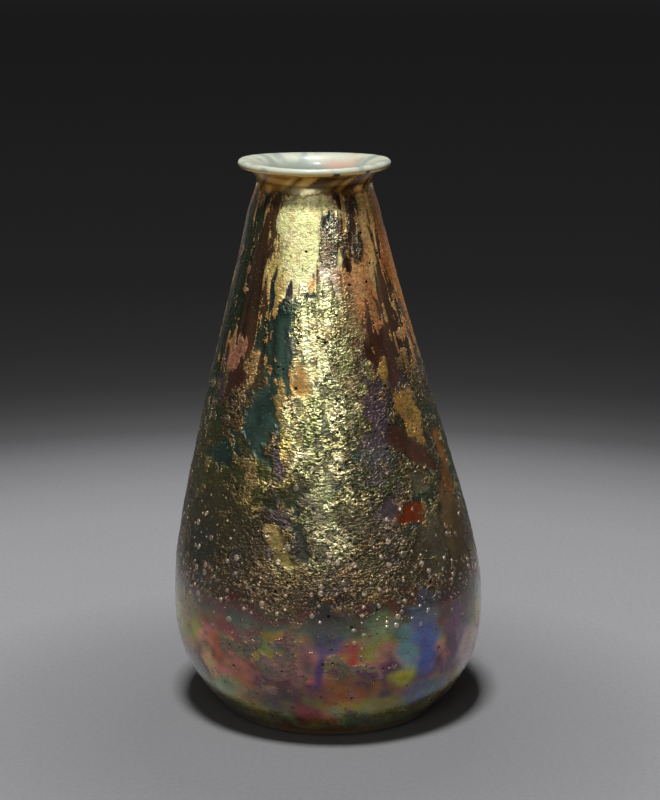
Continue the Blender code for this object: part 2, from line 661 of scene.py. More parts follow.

# Films and crusts of the side that the photograph shows, from the neck down, with a few painted glints,
# reflections and shade
PATCHES: tuple[Patch, ...] = (
    crust("gold cone", Film.PALE_GOLD, -15, 143, 8.0, 17, 12, 0.05, rag=0.7),
    crust("gold under the neck", Film.WHITE_GOLD, -4, 154.5, 9.0, 2.6, 0, 0.1, rag=0.5),
    crust("tan by the cone", Film.OCHRE, -42, 149, 2.2, 8, 12, 0.4),
    crust("rose gold", Film.ROSE_GOLD, 9, 133, 3.2, 9, 0, 0.45),
    crust("left finger", Film.GOLD, -33, 134, 2.2, 10, -6, 0.4),
    crust("middle finger", Film.GOLD, -26, 129, 1.6, 8, 3, 0.5),
    Patch("gap by the fingers", Film.DARK_TEAL, -31, 131, 0.9, 6, 2),
    Patch("second gap", Film.VIOLET, -17, 130, 0.8, 4.0, 4),
    crust("dark by the tear", Film.GUNMETAL, 32, 147.5, 5.0, 9, 18, 0.9),
    Patch("brown in the dark", Film.RED_BROWN, 31, 147, 1.6, 7, 18, 0.5),
    crust("silver tear", Film.SILVER, 12, 146, 3.0, 7.5, 14, 1.0),
    Patch("dark in the silver tear", Film.DARK_TEAL, 11, 151.3, 0.8, 2.4, 20, 0.4),
    Patch("brown under the tear", Film.DARK_RED, 24, 137.5, 1.4, 2.6, 10, 0.3),
    # Painted glints: a bright drop and a bright bar of light on the crust
    crust("bright drop", Film.WHITE_GOLD, 18, 139.8, 1.1, 3.0, 8, 0.0, rag=0.2),
    crust("bright bar", Film.COPPER_PINK, 23.5, 134.5, 2.2, 1.2, 35, 0.2, rag=0.5),
    crust("ochre strip", Film.STRAW, 49, 144, 3.4, 15, 6, 0.3),
    crust("copper cheek", Film.COPPER, 31, 125, 7.4, 12, -4, 0.35),
    crust("bright copper", Film.ROSE_COPPER, 25, 130, 3.6, 8, 0, 0.35),
    crust("orange edge", Film.ORANGE, 74, 136, 5.0, 20, -4, 0.3),
    Patch("crack", Film.DARK_RED, 54, 140, 0.5, 12, -5, 0.1, 0.65),
    Patch("second crack", Film.DARK_RED, 61, 131, 0.55, 13, -6, 0.1, 0.65),
    Patch("third crack", Film.DARK_RED, 44, 124, 0.5, 10, -6, 0.1, 0.65),
    Patch("fourth crack", Film.RED_BROWN, 68, 122, 0.7, 12, -6, 0.1, 0.65),
    Patch("left brown band", Film.RED_BROWN, -44, 134, 2.4, 24, 4, 0.35),
    crust("left tan streak", Film.TAN, -62, 150, 1.7, 9, 6, 0.5),
    Patch("left dark side", Film.DARK_GREEN, -70, 128, 6, 22, 4, 0.5),
    crust("second gold", Film.PALE_GOLD, -2, 123, 6.8, 11, 0, 0.65),
    Patch("upper teal", Film.TEAL, -20, 116, 5.4, 8, 6, 0.4),
    Patch("green mottle", Film.DARK_TEAL, -17, 125, 4.6, 3.4, 0, 0.9, 0.6),
    Patch("dark nick", Film.DARK_TEAL, -3, 129, 2.2, 1.0, -8, 0.2),
    Patch("teal strip", Film.TEAL, -28, 96, 5.6, 18, 13, 0.4),
    crust("copper island", Film.COPPER_PINK, -54, 110, 3.6, 5.5, 22, 0.35),
    Patch("brown pool", Film.DARK_RED, -49, 102, 4.6, 7, 12, 0.1),
    crust("tan island", Film.TAN, -39, 107, 2.2, 7, -3, 0.6),
    crust("bronze island", Film.BRONZE, -48, 94, 5.0, 9.5, 6, 0.8),
    crust("gold spike", Film.OLIVE_GOLD, -19, 99, 1.5, 13, -12, 0.5),
    crust("gold shelf", Film.GOLD, -12, 89, 3.8, 14, 0, 0.8),
    crust("tan shelf", Film.OLIVE_GOLD, -14, 77, 3.6, 7.0, 0, 0.8),
    crust("hammered gold", Film.WHITE_GOLD, -1, 99, 8.2, 27, 0, 1.0),
    crust("bright core", Film.PALE_GOLD, -1, 110, 4.0, 14, 3, 0.6),
    crust("grey gold", Film.GREY_GOLD, 19, 106, 5.0, 24, 0, 0.75, 0.85, soft=0.8),
    crust("dull gold", Film.GREY_GREEN, 18, 82, 5.6, 12, 0, 0.9, 0.9, soft=0.8),
    crust("green gold", Film.GREEN_GOLD, -4, 91, 2.8, 8.5, 4, 0.95, soft=0.5),
    crust("smooth tan", Film.OCHRE, -9, 106, 3.3, 5.4, 0, 0.3, soft=0.8, rag=1.3),
    Patch("violet strip", Film.VIOLET, 31, 101, 3.8, 17, 4, 0.7, 0.8, soft=0.6),
    Patch("slate strip", Film.SLATE, 24, 84, 4.6, 9, 0, 0.7, 0.7),
    Patch("red shoulder", Film.DARK_RED, 40, 112, 5.0, 7, -10, 0.2),
    crust("yellow chip", Film.OCHRE, 37, 108, 1.2, 2.8, 0, 0.3),
    crust("ochre cloud", Film.OCHRE, 50, 93, 4.6, 8, -5, 0.5),
    Patch("red slide", Film.DARK_RED, 49, 84, 10.0, 3.2, 36, 0.1),
    Patch("orange brown side", Film.ORANGE_BROWN, 68, 76, 4.5, 12, 0, 0.3),
    Patch("left olive field", Film.DARK_OLIVE, -50, 74, 18, 17, 0, 0.7, 0.85),
    Patch("left green pool", Film.DARK_TEAL, -49, 83, 5.5, 4.5, 0, 0.6),
    Patch("left lower teal", Film.DARK_TEAL, -54, 54, 7.5, 8.5, 0, 0.6),
    crust("gold stitch", Film.OLIVE_GOLD, -33, 79, 1.7, 8.5, 0, 0.7),
    crust("lower gold field", Film.GREY_GOLD, 2, 69, 10, 14, 0, 1.0),
    crust("lower gold core", Film.WHITE_GOLD, 2, 69, 4.6, 13, 4, 0.95),
    Patch("holes in the gold", Film.DARK_TEAL, -8, 62, 2.2, 7, 0, 0.5),
    Patch("second holes", Film.DARK_GREEN, -14, 74, 5.0, 4, -20, 0.5),
    crust("grey pink grain", Film.GREY_PINK, 28, 66, 8, 8, 0, 0.9, 0.5),
    Patch("slate bar", Film.SLATE, 27, 71, 5, 3, 0, 0.5),
    crust("tan leaf", Film.GOLD, -16, 56, 3.6, 9.5, -22, 0.35),
    crust("coppery froth", Film.FROTH, -2, 48, 42, 6.5, 0, 1.0, 0.8),
    Patch("red orange chip", Film.RED_ORANGE, 38, 67, 5.4, 3.0, 6, 0.05),
    Patch("grey pool", Film.GREY_GREEN, 46, 58, 6.6, 8.5, 0, 0.65),
    Patch("upper grey pool", Film.GREY_GREEN, 46, 77, 4.8, 4.6, 0, 0.6),
    Patch("brown side", Film.BRONZE, 63, 54, 6.2, 15, 0, 0.3),
    Patch("brown corner", Film.RED_BROWN, 53, 45, 5, 4.5, 0, 0.3, 0.8),
    Patch("dark pool", Film.DARK_TEAL, 1, 42.5, 4.4, 3.4, 0, 0.3),
    # Partly the rainbow's own yellow-olive, partly a painted reflection of the floor along the left edge
    glow("olive edge", Film.YELLOW_OLIVE, -66, 33, 10, 8, 0, 0.5),
    glow("magenta bank", Film.MAGENTA, -38, 36, 10, 3.6, -4, 0.25),
    glow("teal on magenta", Film.GREEN_TEAL, -33, 37.5, 4.6, 1.9, 0, 0.5),
    glow("orange chip", Film.SALMON, -43, 28, 2.4, 3.4, 10, 0.1),
    crust("pink grain", Film.GREY_PINK, -32, 30, 6.5, 5.5, 0, 0.9),
    glow("left peach", Film.PEACH, -50, 23, 3.6, 5.0, 0, 0.3),
    glow("pink flush", Film.PINK, -36, 21, 6.4, 6.0, -10, 0.2),
    glow("low olive", Film.PALE_GREEN, -46, 14, 9, 3.6, -14, 0.15),
    glow("low plum", Film.VIOLET, -18, 14.5, 7, 3.4, -14, 0.15),
    # A painted reflection of the pale floor along the lower left edge
    glow("pale left toe", Film.CREAM, -64, 17, 6, 7, -10, 0.2),
    glow("edge chip", Film.DARK_OLIVE, -65, 21, 0.7, 1.3, 0, 0.1),
    crust("grey grain", Film.GREY_PINK, -17, 24, 8.5, 8, 0, 0.7, 0.8),
    crust("brown grain", Film.GREY_PINK, -10, 33, 5.6, 8, 0, 0.9, 0.8),
    glow("dark by the stem", Film.VIOLET, -7, 28, 2.6, 5.0, 8, 0.3),
    glow("indigo stem", Film.INDIGO, -3, 26, 1.5, 13, 13, 0.1),
    glow("indigo head", Film.INDIGO, 2, 34.5, 5.0, 2.0, 0, 0.15),
    glow("teal head", Film.TEAL, 2, 39.5, 5.0, 3.0, 0, 0.4),
    crust("pink froth", Film.GREY_PINK, 6, 24, 5.0, 8.5, 0, 0.8, 0.8),
    glow("plum toe", Film.MAGENTA, -9, 11, 5.5, 4.2, -10, 0.1),
    glow("orange toe", Film.SALMON, -2, 7.5, 4.0, 1.8, 0, 0.1),
    glow("yellow sheen", Film.YELLOW_OLIVE, 14, 33, 6.0, 4.2, 0, 0.5),
    glow("orange band", Film.HOT_ORANGE, 9, 19, 8.0, 3.2, 0, 0.5),
    glow("red head", Film.RED, 9, 34, 3.0, 1.5, -10, 0.1),
    glow("red drop", Film.RED, 9, 29, 1.2, 3.2, -8, 0.1),
    glow("low lime", Film.YELLOW_OLIVE, 23, 12, 8.5, 2.4, 10, 0.2),
    glow("low teal", Film.PALE_GREEN, 17, 6.5, 11, 2.4, 6, 0.1),
    glow("pale green", Film.PALE_GREEN, 20, 36.5, 6.6, 3.4, 0, 0.6),
    glow("teal cheek", Film.PALE_TEAL, 30, 30, 4.4, 7.0, 0, 0.6),
    glow("lime chip", Film.YELLOW_GREEN, 28, 22.5, 3.4, 2.6, 0, 0.2),
    glow("blue grey", Film.PALE_BLUE, 38, 39, 6.0, 5.0, 0, 0.3),
    glow("blue flash", Film.BLUE, 38, 29.5, 3.6, 8.5, -6, 0.15),
    glow("violet side", Film.VIOLET_PINK, 55, 31, 8.5, 11, 0, 0.35),
    # Painted shade along the right edge, holding down its sheen
    glow("dark right edge", Film.DARK_RED, 63, 42, 5.0, 8.0, 0, 0.25),
    # A painted highlight: the pale reflection of the floor along the lower right edge
    glow("pale pink edge", Film.PALE_PINK, 64, 22, 6, 9, -16, 0.2),
    glow("violet dot", Film.VIOLET, 22, 17, 2.0, 1.8, 0, 0.1),
    glow("low slate blue", Film.SLATE_BLUE, 41, 13.5, 7.5, 4.4, 0, 0.2),
)


@dataclass
class Vase:
    """The vase as a fine mesh that carries its lustre in attributes.

    The heights and sizes of its relief are in millimetres.
    """

    sizes: VaseSizes
    columns: int = 400
    seed: int = 71
    sunk: float = 0.3
    crust_height: float = 0.12
    hammer_height: float = 0.07
    hammer_size: float = 2.4
    swell_height: float = 0.10
    swell_size: float = 16.0
    most_lift: float = 0.1
    low_calm: float = 0.6
    section: Section = field(init=False)

    def __post_init__(self) -> None:
        """Draws the section that the mesh is turned from."""
        self.section = Section(self.sizes)

    def turn(self) -> bpy.types.Object:
        """Turns the section into the vase's mesh.

        Returns:
            The vase as a closed mesh object.
        """
        wire = bpy.data.meshes.new("section")
        wire.from_pydata([(radius, 0.0, height) for radius, height in self.section.points], [], [])
        s = self.sizes
        return turned_tree().grow("lustred_vase", wire, {
            "Columns": self.columns,
            "Rows": len(self.section.points),
            "Lean": s.lean,
            "Lean Start": s.lean_start_height,
            "Lean End": s.lean_end_height,
            "Rim Wave": s.rim_wave,
            "Neck Height": s.neck_height,
            "Vase Height": s.height,
            "Material": LustredGlass().make(),
        })

    def lay_lustre(self, item: bpy.types.Object) -> None:
        """Writes the lustre's colours, crust and grain to the mesh and gives it relief.

        Args:
            item: The turned vase.
        """
        mesh = item.data
        count = len(mesh.vertices)
        flat = np.empty(count * 3, dtype=np.float32)
        mesh.vertices.foreach_get("co", flat)
        place = flat.reshape(count, 3).astype(float)
        row = np.empty(count, dtype=np.float32)
        mesh.attributes["row"].data.foreach_get("value", row)
        east = place[:, 0] + self.sizes.lean_at(place[:, 2])
        bearing = np.degrees(np.arctan2(east, -place[:, 1]))
        radius = np.hypot(east, place[:, 1]) / MM
        height = place[:, 2] / MM
        outside = (row >= self.section.first_outside) & (row < self.section.first_under)
        paint = Lustre(bearing, height, radius, self.seed)
        paint.ground()
        for patch in PATCHES:
            paint.lay(patch)
        paint.hidden_side()
        paint.tear()
        paint.bare_neck()
        paint.write(mesh, outside)
        self.raise_relief(mesh, place, paint, outside)
        mesh.attributes.remove(mesh.attributes["row"])

    def raise_relief(self, mesh: bpy.types.Mesh, place: np.ndarray, paint: "Lustre",
                     outside: np.ndarray) -> None:
        """Moves the outside in and out by the thickness of the crust and its hammering.

        Args:
            mesh: The vase's mesh.
            place: Its points, in metres.
            paint: The lustre laid on it.
            outside: Which points are on the outside.
        """
        normals = np.empty(len(place) * 3, dtype=np.float32)
        mesh.vertices.foreach_get("normal", normals)
        normals = normals.reshape(-1, 3).astype(float)
        body = ease(paint.height, 161.5, 150.0) * ease(paint.height, 0.3, 3.0) * outside
        crust = ease(paint.crust, 0.25, 0.75)
        hammer = paint.clouds.layered(place / MM, self.hammer_size, 2) * ease(paint.grain, 0.4, 1.0)
        swell = paint.clouds.layered(place / MM + 40.0, self.swell_size, 2)
        calm = 1.0 - self.low_calm * ease(paint.height, 44.0, 34.0)
        torn = self.crust_height * (crust - 0.6) + self.hammer_height * hammer
        lift = -self.sunk + torn * calm + self.swell_height * swell
        moved = place + normals * (np.minimum(lift, self.most_lift) * body * MM)[:, None]
        mesh.vertices.foreach_set("co", moved.astype(np.float32).ravel())
        mesh.update()


class Lustre:
    """The lustre over the vase's points: film and crust colours, crust and grain.

    Bearings are in degrees from the front, and heights and widths in millimetres.
    """

    # How much further from grey than painted the colours are drawn
    RICHNESS = 0.2
    # Bearing and half width of the dark nicks in the lip's edge, and their height
    LIP_NICKS = ((17.0, 1.3), (44.0, 1.1))
    LIP_NICK_HEIGHT = 162.7
    # Radius of the drum that the noise of body and neck is read on
    DRUM = 36.0
    NECK_DRUM = 22.0
    # How the streaks of the neck are drawn: degrees of slant a millimetre, and share of height
    NECK_SLANT = 4.0
    NECK_SLANT_HEIGHT = 158.0
    NECK_DRAW = 0.15
    # Number of patches of each kind on the hidden side, and how far they reach round from the back
    HIDDEN_COUNT = 14
    HIDDEN_REACH = 88.0
    # Bearings of the gold cone's top on the neck and of the pink flush inside the mouth
    CONE_BEARING = -8.0
    FLUSH_BEARING = 148.0

    def __init__(self, bearing: np.ndarray, height: np.ndarray, radius: np.ndarray, seed: int) -> None:
        """Starts with bare glass.

        Args:
            bearing: Bearing of each point from the front, in degrees.
            height: Height of each point, in millimetres.
            radius: Distance of each point from the leaning middle, in millimetres.
            seed: Start of the random draws.
        """
        self.bearing = bearing
        self.height = height
        self.radius = radius
        self.clouds = Clouds(seed)
        self.random = np.random.default_rng(seed + 1)
        turn = np.radians(bearing)
        self.round = np.stack([self.DRUM * np.sin(turn), self.DRUM * np.cos(turn), height], axis=1)
        self.film, self.crust_tint = (np.zeros((len(height), 3)) for _ in range(2))
        self.crust, self.grain, self.froth, self.bare, self.opal = (np.zeros(len(height)) for _ in range(5))
        tall = ease(height, 100.0, 122.0)
        self.rag = self.clouds.layered(self.round, 3.6, 3)
        self.rag += (self.streaks(2.8, 7.0, 150.0) - self.rag) * 0.8 * tall
        self.drift = 1.5 * self.clouds.layered(self.round + 200.0, 9.0, 3)
        self.rise = 2.4 * self.clouds.layered(self.round + 300.0, 9.0, 3)

    def streaks(self, size: float, stretch: float, shift: float) -> np.ndarray:
        """Noise that runs down the vase in streaks.

        Args:
            size: Width of a streak, in millimetres.
            stretch: Length of a streak in widths.
            shift: Where in the noise it is read.

        Returns:
            A number of about -1 to 1 for each point.
        """
        drawn = self.round * np.array([1.0, 1.0, 1.0 / stretch]) + shift
        return self.clouds.layered(drawn, size, 3)

    @staticmethod
    def blend(under: np.ndarray, over: Colour, share: np.ndarray) -> np.ndarray:
        """Lays a colour over others by share."""
        return under + (np.array(over) - under) * share[:, None]

    def cover(self, film: Film, share: np.ndarray, layer: Layer = Layer.FILM) -> None:
        """Lays one film's colour on a layer.

        Args:
            film: The colour.
            share: How much of it each point takes.
            layer: The layer that takes it.
        """
        colour = linear(film.value)
        if layer is Layer.FILM:
            self.film = self.blend(self.film, colour, np.clip(share, 0.0, 1.0))
        else:
            self.crust_tint = self.blend(self.crust_tint, colour, share)

    def ground(self) -> None:
        """Lays what is under all patches: films by height, and a crust torn in streaks."""
        h = self.height
        broad = self.clouds.layered(self.round + 90.0, 16.0, 2)
        fine = self.clouds.layered(self.round + 30.0, 6.0, 3)
        streak = self.streaks(5.0, 7.0, 11.0)
        every = np.ones_like(h)
        self.cover(Film.RED_BROWN, every)
        self.cover(Film.DARK_OLIVE, ease(streak, -0.1, 0.35))
        self.cover(Film.DARK_GREEN, ease(broad, 0.0, 0.5) + 0.6 * ease(h, 118.0, 96.0))
        self.cover(Film.DARK_TEAL, ease(fine + 0.5 * broad, 0.4, 0.8) * ease(h, 135.0, 105.0))
        self.cover(Film.VIOLET, 0.7 * ease(streak - broad, 0.5, 0.9))
        # Each film of the rainbow reaches from the foot up to its own height
        low = h + 5.0 * fine + 4.0 * broad
        for top, film in (
            (46.0, Film.RED_BROWN), (42.0, Film.MAGENTA), (38.0, Film.GREEN_TEAL),
            (34.0, Film.YELLOW_OLIVE), (29.0, Film.PINK), (23.0, Film.VIOLET_PINK),
            (18.0, Film.ORANGE_BROWN), (14.0, Film.YELLOW_OLIVE), (9.0, Film.PALE_GREEN),
            (4.5, Film.ORANGE_BROWN),
        ):
            self.cover(film, ease(low, top + 2.5, top - 2.5))
        self.cover(Film.TAN, every, Layer.CRUST)
        self.cover(Film.COPPER, ease(streak, 0.0, 0.5), Layer.CRUST)
        self.cover(Film.BRONZE, ease(h + 12.0 * broad, 116.0, 98.0), Layer.CRUST)
        self.cover(Film.OLIVE_GOLD, ease(broad - streak, 0.0, 0.6) * ease(h, 110.0, 90.0), Layer.CRUST)
        self.cover(Film.FROTH, ease(h + 5.0 * fine, 58.0, 48.0), Layer.CRUST)
        self.cover(Film.GREY_PINK, ease(h + 5.0 * fine, 42.0, 34.0), Layer.CRUST)
        tall = ease(h, 90.0, 118.0)
        self.crust = 0.5 + 0.55 * streak * tall + 0.32 * fine * (1.0 - tall) - 0.12 * (1.0 - tall)
        self.crust -= 0.22 * ease(h, 44.0, 30.0) + 0.4 * ease(h, 9.0, 5.0)
        self.grain = 0.35 + 0.55 * ease(h, 120.0, 90.0) - 0.6 * ease(h, 9.0, 5.0)

    def lay(self, patch: Patch) -> None:
        """Lays one patch.

        Args:
            patch: The patch.
        """
        swing = (self.bearing - patch.bearing + 180.0) % 360.0 - 180.0
        along = np.radians(swing) * self.radius + self.drift
        rise = self.height - patch.height + self.rise
        tilt = math.radians(patch.tilt)
        across = along * math.cos(tilt) - rise * math.sin(tilt)
        upward = along * math.sin(tilt) + rise * math.cos(tilt)
        reach = np.hypot(across / patch.half_width, upward / patch.half_height)
        least = min(patch.half_width, patch.half_height)
        edge = (reach - 1.0) * least + patch.rag * self.rag * min(2.4, 0.5 * least)
        soft = patch.soft * min(3.0, 1.2 * least)
        share = ease(edge, soft, -soft) * patch.strength
        self.cover(patch.film, share, patch.layer)
        # A smooth crust is whole, a grainy one has holes, and scraps of crust lie on a grainy film
        if patch.layer is Layer.CRUST:
            level = 0.96 - 0.30 * patch.grain
            self.cover(patch.film, share * 0.15)
        else:
            level = 0.04 + 0.26 * patch.grain
        self.crust += (level - self.crust) * share
        self.grain += (patch.grain - self.grain) * share

    def hidden_side(self) -> None:
        """Lays plainer patches of the same kinds on the side the photograph hides."""
        # Heights, films, layer, half widths and half heights of each kind
        kinds = (
            ((118.0, 150.0), (Film.OCHRE, Film.COPPER, Film.TAN), Layer.CRUST, (2.0, 4.0), (8.0, 16.0)),
            ((105.0, 150.0), (Film.RED_BROWN, Film.DARK_GREEN), Layer.FILM, (1.5, 3.5), (8.0, 16.0)),
            ((70.0, 118.0), (Film.TEAL, Film.DARK_TEAL, Film.VIOLET), Layer.FILM, (3.0, 6.0), (5.0, 13.0)),
            ((60.0, 118.0), (Film.GOLD, Film.OLIVE_GOLD, Film.TAN), Layer.CRUST, (3.0, 8.0), (6.0, 14.0)),
            ((8.0, 42.0), (Film.PINK, Film.BLUE, Film.YELLOW, Film.MAGENTA, Film.GREEN_TEAL, Film.ORANGE),
             Layer.FILM, (4.0, 8.0), (2.5, 6.0)),
        )
        for heights, films, layer, widths, talls in kinds:
            for number in range(self.HIDDEN_COUNT):
                self.lay(Patch(
                    name="hidden side",
                    film=films[number % len(films)],
                    bearing=180.0 + self.random.uniform(-self.HIDDEN_REACH, self.HIDDEN_REACH),
                    height=self.random.uniform(*heights),
                    half_width=self.random.uniform(*widths),
                    half_height=self.random.uniform(*talls),
                    tilt=self.random.uniform(-10.0, 10.0),
                    layer=layer,
                    grain=0.3 + 0.5 * (layer is Layer.CRUST),
                ))

    def tear(self) -> None:
        """Tears holes in the crust, leaves scraps of it on the films and varies the tints."""
        tall = ease(self.height, 90.0, 118.0)
        broad = self.clouds.layered(self.round + 700.0, 12.0, 3)
        self.froth = ease(self.height + 12.0 * broad, 80.0, 58.0)
        self.froth *= ease(self.height + 4.0 * broad, 30.0, 42.0)
        fine = self.clouds.layered(self.round + 500.0, 2.6, 2)
        streak = self.streaks(2.4, 8.0, 77.0)
        self.crust += (0.46 * fine + 0.34 * streak * tall) * (0.35 + 0.95 * self.grain)
        broken = self.clouds.layered(self.round + 820.0, 3.4, 3)
        drawn = self.streaks(3.0, 9.0, 240.0)
        self.film *= (1.0 + 0.34 * broken + (0.5 * drawn - 0.2 * broken) * tall)[:, None]
        self.crust_tint *= (1.0 + 0.30 * broken + (0.16 * drawn - 0.2 * broken) * tall)[:, None]
        play = 0.07 + 0.15 * ease(self.height, 60.0, 35.0)
        for number, tints in enumerate((self.film, self.crust_tint)):
            for channel in range(3):
                shift = 400.0 + 50.0 * channel + 20.0 * number
                tints[:, channel] *= 1.0 + play * self.clouds.layered(self.round + shift, 5.0, 3)
            grey = tints.mean(axis=1, keepdims=True)
            tints += (tints - grey) * self.RICHNESS
            np.clip(tints, 0.0, 1.0, out=tints)

    def bare_neck(self) -> None:
        """Leaves the neck and the foot's corner as bare amber glass, with drawn streaks."""
        turn = np.radians(self.bearing - self.NECK_SLANT * (self.height - self.NECK_SLANT_HEIGHT))
        slant = [self.NECK_DRUM * np.sin(turn), self.NECK_DRUM * np.cos(turn), self.NECK_DRAW * self.height]
        drawn = self.clouds.layered(np.stack(slant, axis=1), 2.4, 1)
        edge = self.clouds.layered(self.round + 60.0, 3.6, 2)
        bare = ease(self.height + 0.8 * edge, 156.0, 157.8)
        self.cover(Film.AMBER, bare)
        self.cover(Film.DARK_AMBER, bare * ease(drawn, -0.05, -0.45))
        self.cover(Film.HONEY, bare * ease(drawn, 0.2, 0.6))
        beside = np.abs(self.bearing - self.CONE_BEARING)
        cone_top = ease(beside, 28.0, 8.0) * ease(self.height, 159.5, 156.5)
        self.cover(Film.PALE_GOLD, 0.9 * bare * cone_top)
        self.cover(Film.LIP_HONEY, ease(self.height, 161.2, 162.3))
        toe = ease(self.height, 3.0, 1.2)
        self.cover(Film.AMBER, toe)
        self.bare = np.maximum(bare, toe)
        self.crust += (-0.4 - self.crust) * self.bare
        self.grain *= 1.0 - self.bare

    def pearl(self, outside: np.ndarray) -> None:
        """Lays opal colours on the inside and on the lip, with painted shade down inside the mouth and a
        painted highlight on the lip's top.

        Args:
            outside: Which points are on the outside.
        """
        opal = np.where(outside, ease(self.height, 163.0, 163.7), 1.0) * (self.height > 1.5)
        swirl = self.clouds.layered(self.round * np.array([1.0, 1.0, 3.0]) + 610.0, 7.0, 3)
        rim = ease(self.height, 161.2, 163.6)
        self.cover(Film.PEARL, opal)
        self.cover(Film.SHADE_PEARL, opal * ease(swirl, 0.5, -0.9))
        self.cover(Film.SHELL_PINK, opal * ease(swirl, 0.35, 0.8))
        # Painted shade down inside the mouth, below the rim
        self.cover(Film.SHADE_PEARL, 0.8 * ease(self.height, 163.4, 161.0) * ~outside)
        flush = ease(np.abs(self.bearing - self.FLUSH_BEARING), 30.0, 8.0) * ease(self.height, 157.0, 160.0)
        self.cover(Film.SHELL_PINK, 0.8 * flush * ~outside)
        # The lip's top painted lighter cream, partly the opal's own tone and partly a painted highlight
        self.cover(Film.CREAM, opal * rim * ease(swirl, -0.7, 0.1))
        for nick, wide in self.LIP_NICKS:
            across = np.abs(np.radians(self.bearing - nick)) * self.radius
            low = ease(np.abs(self.height - self.LIP_NICK_HEIGHT), 0.9, 0.4)
            self.cover(Film.DARK_OLIVE, ease(across, wide, 0.5 * wide) * low * outside)
        self.opal = opal

    def write(self, mesh: bpy.types.Mesh, outside: np.ndarray) -> None:
        """Writes the lustre to the mesh's attributes.

        Args:
            mesh: The vase's mesh.
            outside: Which points are on the outside.
        """
        self.pearl(outside)
        for name, colours in (("film_tint", self.film), ("crust_tint", self.crust_tint)):
            attribute = mesh.attributes.new(name, "FLOAT_COLOR", "POINT")
            whole = np.ones((len(colours), 4), dtype=np.float32)
            whole[:, :3] = colours
            attribute.data.foreach_set("color", whole.ravel())
        for name, values in (
            ("crust", self.crust), ("grain", self.grain), ("froth", self.froth), ("bare", self.bare),
            ("opal", self.opal), ("gloss", ease(self.height, 56.0, 36.0)),
            ("tall", ease(self.height, 95.0, 122.0) * (1.0 - 0.7 * self.grain)),
        ):
            attribute = mesh.attributes.new(name, "FLOAT", "POINT")
            attribute.data.foreach_set("value", values.astype(np.float32))
        around = mesh.attributes.new("around", "FLOAT_VECTOR", "POINT")
        around.data.foreach_set("vector", (self.round * MM).astype(np.float32).ravel())


class Shading(Nodes):
    """The node tree of a material with one Principled shader."""

    # Share that each finer octave of a noise has of the last
    NOISE_ROUGHNESS = 0.55

    def __init__(self, name: str) -> None:
        """Makes the material with its Principled shader.

        Args:
            name: Name of the material.
        """
        self.material = bpy.data.materials.new(name)
        self.material.use_nodes = True
        super().__init__(self.material.node_tree)
        self.shader = self.tree.nodes["Principled BSDF"]
        self.place = self.tree.nodes.new("ShaderNodeTexCoord").outputs["Object"]

    def give(self, **sockets: object) -> None:
        """Joins or fills inputs of the shader.

        Args:
            **sockets: Input by name, with underscores for spaces.
        """
        for name, value in sockets.items():
            self.join(value, self.shader.inputs[name.replace("_", " ")])

    def noise(self, size: float, detail: float = 3.0, stretch: float = 1.0, shift: float = 0.0,
              swirl: float = 0.0, over: bpy.types.NodeSocket | None = None) -> bpy.types.NodeSocket:
        """Noise over the object's own space.

        Args:
            size: Size of its forms, in metres.
            detail: Octaves of detail.
            stretch: How many times as tall as wide its forms are.
            shift: Where in the noise it is read.
            swirl: How far the forms are drawn about.
            over: Coordinates to use instead, in metres.

        Returns:
            The noise, from 0 to 1.
        """
        drawn = self.add("ShaderNodeMapping", s0=over or self.place, Location=(shift, shift, shift),
                         Scale=(1.0, 1.0, 1.0 / stretch)).outputs[0]
        return self.add("ShaderNodeTexNoise", Vector=drawn, Scale=1.0 / size, Detail=detail,
                        Roughness=self.NOISE_ROUGHNESS, Distortion=swirl).outputs[0]

    def cells(self, size: float) -> bpy.types.Node:
        """Cells over the object's own space, with their distance and colour outputs."""
        return self.add("ShaderNodeTexVoronoi", Vector=self.place, Scale=1.0 / size)

    def attribute(self, name: str, output: str = "Fac") -> bpy.types.NodeSocket:
        """An attribute of the piece's own points."""
        return self.add("ShaderNodeAttribute", {"attribute_name": name}).outputs[output]

    def mix(self, share: object, first: object, second: object, kind: str = "MIX") -> bpy.types.NodeSocket:
        """Mixes two colours.

        Args:
            share: Share of the second.
            first: Colour or socket.
            second: Colour or socket.
            kind: How they are mixed.

        Returns:
            The mixed colour.
        """
        node = self.tree.nodes.new("ShaderNodeMix")
        node.data_type = "RGBA"
        node.blend_type = kind
        self.join(share, node.inputs[0])
        for socket, colour in ((node.inputs[6], first), (node.inputs[7], second)):
            self.join((*colour, 1.0) if isinstance(colour, tuple) else colour, socket)
        return node.outputs[2]

    def grey(self, shade: bpy.types.NodeSocket) -> bpy.types.NodeSocket:
        """A grey of the given shade."""
        return self.add("ShaderNodeCombineColor", s0=shade, s1=shade, s2=shade).outputs[0]

    def channel(self, colour: bpy.types.NodeSocket, place: int) -> bpy.types.NodeSocket:
        """The red, green or blue of a colour, by place 0, 1 or 2."""
        return self.add("ShaderNodeSeparateColor", s0=colour).outputs[place]


